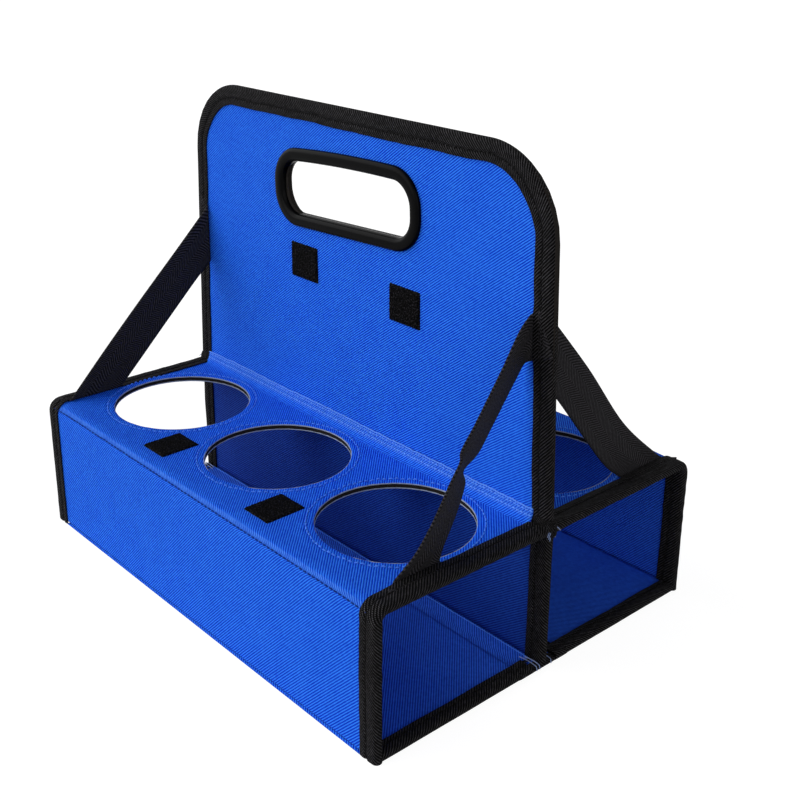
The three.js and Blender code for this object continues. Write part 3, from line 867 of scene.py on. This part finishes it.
deckCloth = {"liningGaps": (0.5, 0.4), "wave": 0.3, "waveSize": 60, "freeIn": (12, 14), "pucker": 0.26,
             "puckers": 26, "puckerWidth": 3.4, "groove": 0.42, "grooveWidth": 1.1, "rimDrop": 0.3,
             "rimWidth": 0.7, "threadUp": 0.2, "thick": 0.6, "edgeOut": 0.1, "edgeThick": 0.8,
             "edgeSunk": 0.45}


# Height of the deck cloth over its board: a slow wave, puckers and a sewn groove in the ring of stitches
# round a hole, and a rim drawn down at the hole
def deckLift(x, outward, radius, turn, hole, limits):
    inside = within(outward, limits, *deckCloth["freeIn"]) * freeOfTape(x)
    ringAt = cupHole["radius"] + cupHole["stitch"]
    puckers = np.sin(deckCloth["puckers"] * turn + 2 * np.sin(3 * turn + hole + 1)) + 0.8
    lift = deckCloth["wave"] * (ripple(x, outward, deckCloth["waveSize"], seed=20) + 0.5) * inside
    drawn = deckCloth["pucker"] * bell(radius, ringAt, deckCloth["puckerWidth"]) * puckers
    sewn = deckCloth["groove"] * bell(radius, ringAt, deckCloth["grooveWidth"])
    lift = lift + drawn * ramp(inside, 0, 0.6) - sewn * ramp(inside, 0, 0.3)
    return lift - deckCloth["rimDrop"] * bell(radius, cupHole["radius"], deckCloth["rimWidth"])


# Deck cover and lining: the three cells, puckered along the sewn ring of each hole. The cover goes on
# over the corner to the sewn groove, with the paler twill as a painted highlight from the ridge to the
# groove. Dashes of thread lie in each ring, and a pale raw edge runs round each hole.
def addDeckCloth(side, part, level, up, material, slot):
    isCover = up > 0
    name, node = side + "Deck" + part, side + "_deck_" + part.lower()
    rings = np.concatenate([[0, 0.012], np.linspace(0.04, 1, 32) ** 1.15])
    if isCover:
        low, high = seamFoot, wallFace - wallCloth["corner"]
    else:
        low, high = np.array([deckFold, cornerFold]) + deckCloth["liningGaps"] * np.array([1, -1])
    limits = (low, high)
    around = np.linspace(0, 2 * np.pi, 400)
    patches, hoops, edges = [], [], []
    for hole in (-1, 0, 1):
        x, outward, radius, turn = deckCell(hole, low, high, rings)
        lift = deckLift(x, outward, radius, turn, hole, limits)
        flat = joined(sides[side] * x, high - outward)
        patches.append((placed(x, outward, level + up * lift, side), flat, 0))
        radius = cupHole["radius"] + cupHole["stitch"]
        x, outward = holeRing(hole, radius, around)
        lift = deckCloth["threadUp"] + deckLift(x, outward, radius, around, hole, limits)
        ring = placed(x, outward, level + up * lift, side)
        hoops.append((*stitchRow(ring, up * upward, pitch=3.4, share=0.68, thread=0.44), 0))
        x, outward = holeRing(hole, cupHole["radius"] + deckCloth["edgeOut"], around[::2])
        rawEdge = placed(x, outward, level - deckCloth["edgeSunk"] * up, side)
        edges += cordRun(rawEdge, deckCloth["edgeThick"])
    width, length = 2 * clothCut * mm, (high - low) * mm
    if isCover:
        outward, height, facing, run = outsideLine(high, 0, wallCloth["seamTurn"])
        rims = np.concatenate([points[-1] for points, _, _ in patches])
        x = np.unique(np.round(rims[np.abs(np.abs(rims[:, 1]) - high) < 1e-6, 0], 6))[None, ::-1]
        lift = cornerLift(x, facing)
        points = placed(x, outward + lift * np.sin(facing), height + lift * np.cos(facing), side)
        flat = joined(sides[side] * x, -run)
        # from the highlight turn to the groove the cover takes the paler twill, a painted highlight on the
        # ridge
        paintedHighlight = np.argmax(facing > np.radians(wallCloth["highlitTurn"]))
        patches += [(points[:paintedHighlight + 1], flat[:paintedHighlight + 1], 0), (points[paintedHighlight:], flat[paintedHighlight:], 1)]
        length += run.max() * mm
    cloth = addPiece(name, patches, [material, highlitTwill], flip=isCover == (side == "front"))
    thicken(cloth, deckCloth["thick"])
    if isCover:
        bodies = (side + "_deck", side + "_wall")
        settleBent(cloth, bodies, side, *cornerBend, slot, node, side + "_corner_roll")
    else:
        settle(cloth, side + "_deck", slot, node)
    addThread(name + "Thread", hoops, blueThread, side + "_deck", slot)
    addThread(name + "Edge", edges, cutEdge, side + "_deck", slot)


holeRim = {"inset": 0.12, "fuzz": 0.06, "fuzzes": 31, "foot": 0.6}
# Section of the board's cut edge, as (out from the hole, up from the board's underside)
holeEdge = np.array([(0, 0.1), (0.05, 1.1), (0, 2.3), (0.25, 2.55), (1.4, 2.5), (1.4, -0.1), (0.25, -0.1)])


# Cut edge of the deck board in each hole: a low ring with a fuzzy, slightly uneven inner face, and lining
# cloth drawn up over its lower part
def addHoleRims(side):
    turn = np.linspace(0, 2 * np.pi, 161)
    out = joined(np.cos(turn), np.sin(turn), 0)
    fuzz = holeRim["fuzz"] * np.sin(holeRim["fuzzes"] * turn)
    radius = cupHole["radius"] + holeRim["inset"] + fuzz
    patches = []
    for hole in (-1, 0, 1):
        middle = placed(hole * cupHole["pitch"], cupHole["fromMiddle"], deckUnder + holeRim["foot"], side)
        path = middle + radius[:, None] * out
        path[-1] = path[0]
        points, flat = sweep(path, out, upward, holeEdge)
        patches += [(points[:, :2], flat[:, :2], 1), (points[:, 1:], flat[:, 1:], 0)]
    rims = addPiece(side + "HoleRims", patches, [blackBoard, blueLining], closed=True)
    settle(rims, side + "_deck", "core_board")


# Wall cover: the outside line from the corner's seam down to the foot, run along the carrier, with its
# row of thread in a darker blue that paints the shade of the sewn groove
def addWallCover(side):
    outward, height, facing, run = outsideLine(wallFace - wallCloth["corner"], wallCloth["seamTurn"])
    x = np.linspace(-clothCut, clothCut, 170)[None]
    free = ramp(deckTop - height, *wallCloth["freeOfDeck"]) * ramp(height, *wallCloth["freeOfFoot"])
    free = free * freeOfTape(x)
    lift = wallCloth["wave"] * (ripple(x, height, wallCloth["waveSize"], seed=30) - 0.3) * free
    lift = lift + cornerLift(x, facing) * (facing < np.pi / 2)
    points = placed(x, outward + lift * np.sin(facing), height + lift * np.cos(facing), side)
    patches = [(points, joined(-sides[side] * x, -run), 0)]
    cover = addPiece(side + "WallCover", patches, [blueTwill], flip=side == "rear")
    thicken(cover, wallCloth["thick"])
    bodies = (side + "_deck", side + "_wall")
    settleBent(cover, bodies, side, *cornerBend, "blue_twill", side + "_wall_cover")
    line = points[0] + placed(0.0, *wallCloth["threadOff"], side)
    turn = np.radians(wallCloth["seamTurn"])
    row = stitchRow(line, placed(0.0, np.sin(turn), np.cos(turn), side), pitch=3.3, share=0.68, thread=0.4)
    thread = addPiece(side + "CornerThread", [(*row, 0)], [shadedThread], closed=True)
    settleBent(thread, bodies, side, *cornerBend, "blue_twill")


wallLining = {"corner": 6.0, "underDeck": 1.5, "intoFloor": 0.1, "wave": 0.35, "waveSize": 70,
              "freeOfDeck": (8, 20), "freeOfFloor": (4, 16), "thick": 0.5}
liningBend = (cornerFold - 0.5, deckTop - 4), (wallInner, deckTop - 10)


# Wall lining: from the deck's underside round the inside of the corner and down the wall's inner face
def addWallLining(side):
    radius = wallLining["corner"]
    turn = np.linspace(0, np.pi / 2, 14)
    start = cornerFold - wallLining["underDeck"]
    outward = np.concatenate([[start], wallInner - radius + radius * np.sin(turn), np.full(30, wallInner)])
    height = np.concatenate([[deckUnder], deckUnder - radius + radius * np.cos(turn),
                             np.linspace(deckUnder - radius, floorTop - wallLining["intoFloor"], 31)[1:]])
    run = runLength(joined(outward, height))
    outward, height, run = outward[:, None], height[:, None], run[:, None]
    x = np.linspace(-clothCut, clothCut, 120)[None]
    free = ramp(deckUnder - height, *wallLining["freeOfDeck"]) * ramp(height, *wallLining["freeOfFloor"])
    wave = (ripple(x, height, wallLining["waveSize"], seed=33) + 1) * free * freeOfTape(x)
    outward = outward - wallLining["wave"] * wave
    patches = [(placed(x, outward, height, side), joined(sides[side] * x, -run), 0)]
    lining = addPiece(side + "WallLining", patches, [blueLining], flip=side == "front")
    thicken(lining, wallLining["thick"])
    bodies = (side + "_deck", side + "_wall")
    settleBent(lining, bodies, side, *liningBend, "blue_lining", side + "_wall_lining")


endTape = {"start": 6.4, "foot": 0.3, "inset": 0.2, "waver": 0.25, "crease": 0.5, "creaseTurn": 0.9,
           "clear": 0.1, "fuller": 0.4, "liftTurn": 0.7, "steps": 260}


# End tape of a half: the section carried along the deck's end, round the corner and down the wall's end,
# creased where it turns the corner
def addEndTape(side, end):
    sign = ends[end]
    outward, height, facing, _ = (column[:, 0] for column in outsideLine(endTape["start"], 0, 90))
    outward, height = np.append(outward, wallFace), np.append(height, endTape["foot"])
    facing = np.append(facing, np.pi / 2)
    halfSheet = (deckTop - deckUnder) / 2
    line = joined(outward - halfSheet * np.sin(facing), height - halfSheet * np.cos(facing))
    run = runLength(line)
    facing = np.interp(np.linspace(0, 1, endTape["steps"]), run / run[-1], facing)
    o, z = evenly(line, endTape["steps"]).T
    atCorner = bell(facing, np.pi / 4, endTape["creaseTurn"])
    crease = endTape["crease"] * ripple(o, z, size=9, seed=50 + sign) * atCorner
    x = halfLength - endTape["inset"] + endTape["waver"] * ripple(o, z, size=50, seed=52 + sign) + crease
    out = placed(0.0, np.sin(facing), np.cos(facing), side)
    lift = strapLift(o, straps[side, end]["foot"]) * ramp(-facing, -endTape["liftTurn"], 0)
    tape = addTape(side + "EndTape" + end.title(), placed(sign * x, o, z, side), inwardFrom(end), out,
                   halfSheet + endTape["clear"] + endTape["fuller"] * np.abs(crease),
                   waver=0.7, lifts=joined(0, lift), seed=54 + sign + 2 * sides[side])
    nodes = [side + part + end for part in ("_deck_tape_", "_corner_tape_", "_wall_tape_")]
    settleBent(tape, (side + "_deck", side + "_wall"), side, *cornerBend, "black_tape", *nodes)


# Gaps are how far a cloth stops short of the lines that it runs between, and the cover runs past them
floorCloth = {"liningGaps": (0.4, 0.1), "coverGaps": (-0.45, -0.7), "coverEnd": 147.7, "coverHeight": 0.06,
              "wave": 0.4, "waveSize": 60, "freeIn": (14, 10), "coverWave": 0.05, "thick": 0.5}


# Floor cloths: flat sheets over and under the floor board, gently waved where nothing holds them, with
# end tapes
def addFloor(side):
    body = side + "_floor"
    x = np.linspace(-clothCut, clothCut, 90)[:, None]
    startGap, endGap = floorCloth["liningGaps"]
    outward = np.linspace(floorStart + startGap, wallInner - endGap, 40)[None]
    free = within(outward, (floorStart, wallInner), *floorCloth["freeIn"]) * freeOfTape(x)
    lift = floorCloth["wave"] * (ripple(x, outward, floorCloth["waveSize"], seed=60) + 0.6) * free
    patches = [(placed(x, outward, floorTop + lift, side), joined(x, outward), 0)]
    lining = addPiece(side + "FloorLining", patches, [blueLining], flip=side == "front")
    thicken(lining, floorCloth["thick"])
    settle(lining, body, "blue_lining", body + "_lining")
    x = np.linspace(-floorCloth["coverEnd"], floorCloth["coverEnd"], 60)[:, None]
    startGap, endGap = floorCloth["coverGaps"]
    outward = np.linspace(floorStart + startGap, wallFace - endGap, 40)[None]  # meets the gutter's edge
    height = floorCloth["coverHeight"] + floorCloth["coverWave"] * ripple(x, outward, size=40, seed=61)
    patches = [(placed(x, outward, height, side), joined(x, outward), 0)]
    cover = addPiece(side + "FloorCover", patches, [blueTwill], flip=side == "rear")
    thicken(cover, floorCloth["thick"])
    settle(cover, body, "blue_twill", body + "_cover")
    for end, sign in ends.items():
        o = np.linspace(floorTape["rootEnd"] - floorTape["overRoot"], wallFace - floorTape["outerGap"], 80)
        waver = floorTape["waver"] * ripple(o, 0, size=40, seed=62)
        x = sign * (halfLength - floorTape["inset"] + waver)
        path = placed(x, o, floorTape["middle"], side)
        tape = addTape(side + "FloorTape" + end.title(), path, inwardFrom(end), upward,
                       floorTape["halfSheet"], reach=floorTape["reach"], stitch=floorTape["stitch"])
        settle(tape, body, "black_tape", body + "_tape_" + end)


# Tails of thread are (place across, how far they come out from the end)
gutter = {"tapeHalf": 9.4, "tapeSheet": 0.7, "tapeInset": 0.3, "crease": 3.1, "creaseHeight": 3.2,
          "waver": 0.15, "creaseWaver": 0.3, "tapeUp": 0.1, "thread": 0.5,
          "tails": ((-4.2, 11), (-6.4, 13), (4.6, 9)), "tailPast": 0.35, "tailHeight": 3.55, "tailDrop": 2.2,
          "tailTurn": 0.93, "tailSwing": 0.8}
# Rear half of the gutter's section, from the ground under its edge up to its middle
gutterHalf = [(15.4, 0.05), (15.5, 0.3), (15.2, 0.55), (11, 0.6), (10.2, 1.0), (9.8, 2.4), (9.0, 2.95),
              (0, 3.0)]


# Floor gutter: a doubled strip of cloth under the divider, thick in the middle and thin under the floors'
# edges, with a tape over each end and pale threads along the divider's foot that run out over the tape
def addGutter():
    mirrored = [(-o, z) for o, z in gutterHalf[-2::-1]]
    section = np.array(mirrored[-1:] + gutterHalf + mirrored[:-1])
    x = np.linspace(-clothCut, clothCut, 60)
    path = joined(x, gutter["waver"] * ripple(x, 0, size=50, seed=70), 0)
    strip = addPiece("floorGutter", closedRun(path, rearward, upward, section), [blueLining], closed=True)
    settle(strip, "centre", "blue_lining", "floor_gutter")
    x = np.linspace(-clothCut, clothCut, 160)
    creases = []
    for sign in sides.values():
        o = sign * (gutter["crease"] + gutter["creaseWaver"] * ripple(x, 0, size=60, seed=71))
        creases += cordRun(joined(x, o, gutter["creaseHeight"]), gutter["thread"])
    addThread("creaseThread", creases, blueThread, "centre", "blue_lining")
    t = np.linspace(0, 1, 30)
    z = gutter["tailHeight"] - gutter["tailDrop"] * ramp(t, gutter["tailTurn"], 1)
    tails = []
    for sign in ends.values():
        for o, reach in gutter["tails"]:
            x = sign * (halfLength + gutter["tailPast"] - reach * (1 - t))
            tails += cordRun(joined(x, o + gutter["tailSwing"] * np.sin(3 * t), z), gutter["thread"])
    addThread("creaseLooseThread", tails, paleThread, "centre", "blue_lining")
    o = np.linspace(-gutter["tapeHalf"], gutter["tapeHalf"], 24)
    z = gutter["tapeSheet"] + edgeTape["thick"] + gutter["tapeUp"]
    for end, sign in ends.items():
        path = joined(sign * (halfLength - gutter["tapeInset"]), o, z)
        tape = addTape(end + "GutterTape", path, inwardFrom(end), upward, gutter["tapeSheet"],
                       reach=floorTape["reach"], stitch=floorTape["stitch"])
        settle(tape, "centre", "black_tape")


# Quarter turn of a flat strip at a face: run before 0 lies on the face, then a bend, then it stands up.
# Gives the height over the face and the reach back along it.
def quarterTurn(run, radius):
    turn = np.clip(run / radius, 0, np.pi / 2)
    height = radius * (1 - np.cos(turn)) + np.maximum(run - radius * np.pi / 2, 0)
    reach = radius * (1 - np.sin(turn)) + np.maximum(-run, 0)
    return height, reach


# Smooth line through knots: cubic pieces that leave each knot along the line between its neighbours
def smoothLine(knots, count):
    slopes = np.gradient(knots, axis=0)
    place = np.linspace(0, len(knots) - 1, count)
    k = np.minimum(place.astype(int), len(knots) - 2)
    t = (place - k).reshape(-1, *[1] * (knots.ndim - 1))
    return ((2 * t ** 3 - 3 * t ** 2 + 1) * knots[k] + (t ** 3 - 2 * t ** 2 + t) * slopes[k]
            + (3 * t ** 2 - 2 * t ** 3) * knots[k + 1] + (t ** 3 - t ** 2) * slopes[k + 1])


# Webbing strap: its two edges are smooth lines from the panel to the deck, and the cloth lies straight
# between them. Both ends run on under the tapes round a small bend.
def addStrap(side, end):
    strap, steps = straps[side, end], 120
    headAt, footAt = panelFace + strapTuck["offFace"], deckTop + strapTuck["offFace"]
    headUp, footOut = np.mean(strap["head"]), np.mean(strap["foot"])
    knots = [(headAt, headUp, 90, 0), *strap["places"], (footOut, footAt, 0, 0)]
    o, z, slope, turn = np.array(knots, float).T
    slope, turn = np.radians([slope, turn])
    half = np.full(len(knots), strapTuck["halfWidth"])
    half[[0, -1]] = np.ptp(strap["head"]) / 2, np.ptp(strap["foot"]) / 2
    aim = half[:, None] * joined(np.cos(turn) * np.cos(slope), np.cos(turn) * np.sin(slope), np.sin(turn))
    middle = joined(o, z, 0)
    edges = smoothLine(np.stack([middle - aim, middle + aim], axis=1), steps)
    # straight on past both ends, far enough to lie under the tapes
    past = np.linspace(0, 1, 8)[1:, None, None]
    first, last = edges[0] - edges[1], edges[-1] - edges[-2]
    before = edges[0] + past[::-1] * first * strapTuck["under"] / np.abs(first[:, :1])
    after = edges[-1] + past * last * strapTuck["under"] / np.abs(last[:, 1:2])
    t = np.pad(np.linspace(0, 1, steps), len(past), mode="edge")[:, None]
    edges = np.concatenate([before, edges, after])
    width = np.linspace(-1, 1, 15)
    share = (1 + width[:, None]) / 2
    outward, height, aside = np.moveaxis(edges[:, :1] * (1 - share) + edges[:, 1:] * share, -1, 0)
    aside = aside + strapTuck["waver"] * ripple(outward, height, size=45, seed=80) * np.sin(np.pi * t)
    outHeight, headReach = quarterTurn(outward - headAt, strapTuck["radius"])
    upHeight, footReach = quarterTurn(height - footAt, strapTuck["radius"])
    plane = halfPanel(headUp) + (halfLength - halfPanel(headUp)) * t
    plane = plane - edgeTape["reach"] - strapTuck["radius"]
    x = ends[end] * (plane + headReach + footReach + aside)
    points = placed(x, headAt + outHeight, footAt + upHeight, side)
    # its width holds four turns of the herringbone
    flat = joined(runLength(edges.mean(axis=1))[:, None], 2 * webbing["turnBack"] * width)
    piece = addPiece(side + "Strap" + end.title(), [(points, flat, 0)], [blackWebbing],
                     flip=(ends[end] > 0) == (side == "front"))
    thicken(piece, strapTuck["thick"], offset=0)
    settleBent(piece, ("centre", side + "_deck"), side, (headAt, headUp), (footOut, footAt),
               "black_webbing", side + "_strap_" + end)
    place = np.empty(3 * len(piece.data.vertices), dtype=np.float32)
    piece.data.vertices.foreach_get("co", place)
    place = place.reshape(-1, 3) / mm


for side in sides:
    addHandle(side)
addPanelTape()
addGutter()
for end in ends:
    addDividerTape(end)
    addCrossing(end)
for side in sides:
    addPanelCover(side)
    addPatches(side)
    addSeam(side)
    addDeckCloth(side, "Cover", deckTop, 1.0, blueTwill, "blue_twill")
    addDeckCloth(side, "Lining", deckUnder, -1.0, blueLining, "blue_lining")
    addHoleRims(side)
    addWallCover(side)
    addWallLining(side)
    addFloor(side)
    for end in ends:
        addEndTape(side, end)
        addStrap(side, end)
        for part in tapeRoots:
            addTapeRoot(part, side, end)

# Boards stay as CAD nodes and get their finish
for name, node in frame["nodes"].items():
    if name.endswith("_board"):
        node.data.materials.clear()
        node.data.materials.append(blackBoard)


# Puts a camera or light on a sphere round a target, looking in, turned by its roll about the view line
def aimIn(name, data, azimuth, elevation, distance, target=(0, 0, 0), roll=0):
    azimuth, elevation, roll = np.radians([azimuth, elevation, roll])
    level = np.cos(elevation)
    back = np.array([np.sin(azimuth) * level, -np.cos(azimuth) * level, np.sin(elevation)])
    right = unit(np.cross(upward, back))
    up = np.cross(back, right)
    right, up = np.cos(roll) * right + np.sin(roll) * up, np.cos(roll) * up - np.sin(roll) * right
    turned = Matrix(np.stack([right, up, back], axis=1).tolist()).to_4x4()
    thing = bpy.data.objects.new(name, data)
    thing.matrix_world = Matrix.Translation((np.array(target) + distance * back) * mm) @ turned
    bpy.context.scene.collection.objects.link(thing)
    return thing


camera = {"azimuth": 48.16, "elevation": 19.95, "distance": 667.5, "target": (42.75, 0, 158.86),
          "roll": 0.44}
lens = {"focalPixels": 1203.6, "axisRow": 330, "image": 800}


# Camera with its focal length and the row of its axis given in pixels of the picture
def addCamera():
    data = bpy.data.cameras.new("camera")
    data.lens = lens["focalPixels"] / lens["image"] * data.sensor_width
    data.shift_y = (lens["axisRow"] - lens["image"] / 2) / lens["image"]
    data.clip_start, data.clip_end = 0.01, 20
    bpy.context.scene.camera = aimIn("camera", data, **camera)


stage = {"floor": "#D2D2D2", "floorHeight": -0.6, "reach": 6000, "world": (0.36, 0.1), "glow": 1.5,
         "glowShare": 0.62, "sunDistance": 2000}
# Suns: a wide, soft main light from the front and left, and a weak one from the open right end
suns = {
    "key": {"azimuth": -42, "elevation": 17, "strength": 3.05, "softness": 85},
    "fill": {"azimuth": 64, "elevation": 14, "strength": 0.85, "softness": 60},
}
white = (1, 1, 1, 1)


# 1 for rays from the camera, gloss or glass, else 0
def seenRays(tree):
    path = addNode(tree, "ShaderNodeLightPath")
    seen = addNode(tree, "ShaderNodeMath", {0: (path, "Is Camera Ray"), 1: (path, "Is Glossy Ray")},
                   operation="MAXIMUM")
    return addNode(tree, "ShaderNodeMath", {0: (seen, "Value"), 1: (path, "Is Transmission Ray")},
                   operation="MAXIMUM")


# Paper floor: pale, with a glow mixed in for the rays that see it, so that it looks white and keeps shadows
def addFloorPaper():
    line = np.array([-1, 1]) * stage["reach"]
    x, y = np.meshgrid(line, line, indexing="ij")
    material, tree, shader = newMaterial("paperBackdrop", 0.0, Roughness=0.9)
    shader.inputs["Base Color"].default_value = linear(stage["floor"])
    share = addNode(tree, "ShaderNodeMath", {0: (seenRays(tree), "Value"), 1: stage["glowShare"]},
                    operation="MULTIPLY")
    glow = addNode(tree, "ShaderNodeEmission", {"Color": white, "Strength": stage["glow"]})
    paper = addNode(tree, "ShaderNodeMixShader",
                    {0: (share, "Value"), 1: (shader, "BSDF"), 2: (glow, "Emission")})
    tree.links.new(paper.outputs["Shader"], tree.nodes["Material Output"].inputs["Surface"])
    points = joined(x, y, stage["floorHeight"])
    addPiece("floor", [(points, np.zeros(2), 0)], [material], flip=True)


# World that is white to the rays that see it, and as light on the object dims from the horizon up
def addWorld():
    world = bpy.data.worlds.new("studio")
    bpy.context.scene.world = world
    world.use_nodes = True
    tree = world.node_tree
    tree.nodes.clear()
    sky = addNode(tree, "ShaderNodeTexCoord")
    rise = addNode(tree, "ShaderNodeSeparateXYZ", {"Vector": (sky, "Generated")})
    dim = addNode(tree, "ShaderNodeMapRange",
                  {"Value": (rise, "Z"), "To Min": stage["world"][0], "To Max": stage["world"][1]})
    level = addNode(tree, "ShaderNodeMapRange",
                    {"Value": (seenRays(tree), "Value"), "To Min": (dim, "Result"), "To Max": 1.0})
    light = addNode(tree, "ShaderNodeBackground", {"Color": white, "Strength": (level, "Result")})
    addNode(tree, "ShaderNodeOutputWorld", {"Surface": (light, "Background")})


# Both suns, each as wide as its softness in degrees
def addSuns():
    for name, sun in suns.items():
        data = bpy.data.lights.new(name, "SUN")
        data.energy, data.angle = sun["strength"], np.radians(sun["softness"])
        aimIn(name, data, sun["azimuth"], sun["elevation"], stage["sunDistance"])


addCamera()
addFloorPaper()
addWorld()
addSuns()
bpy.context.scene.view_settings.view_transform = "Standard"
print("stage set")
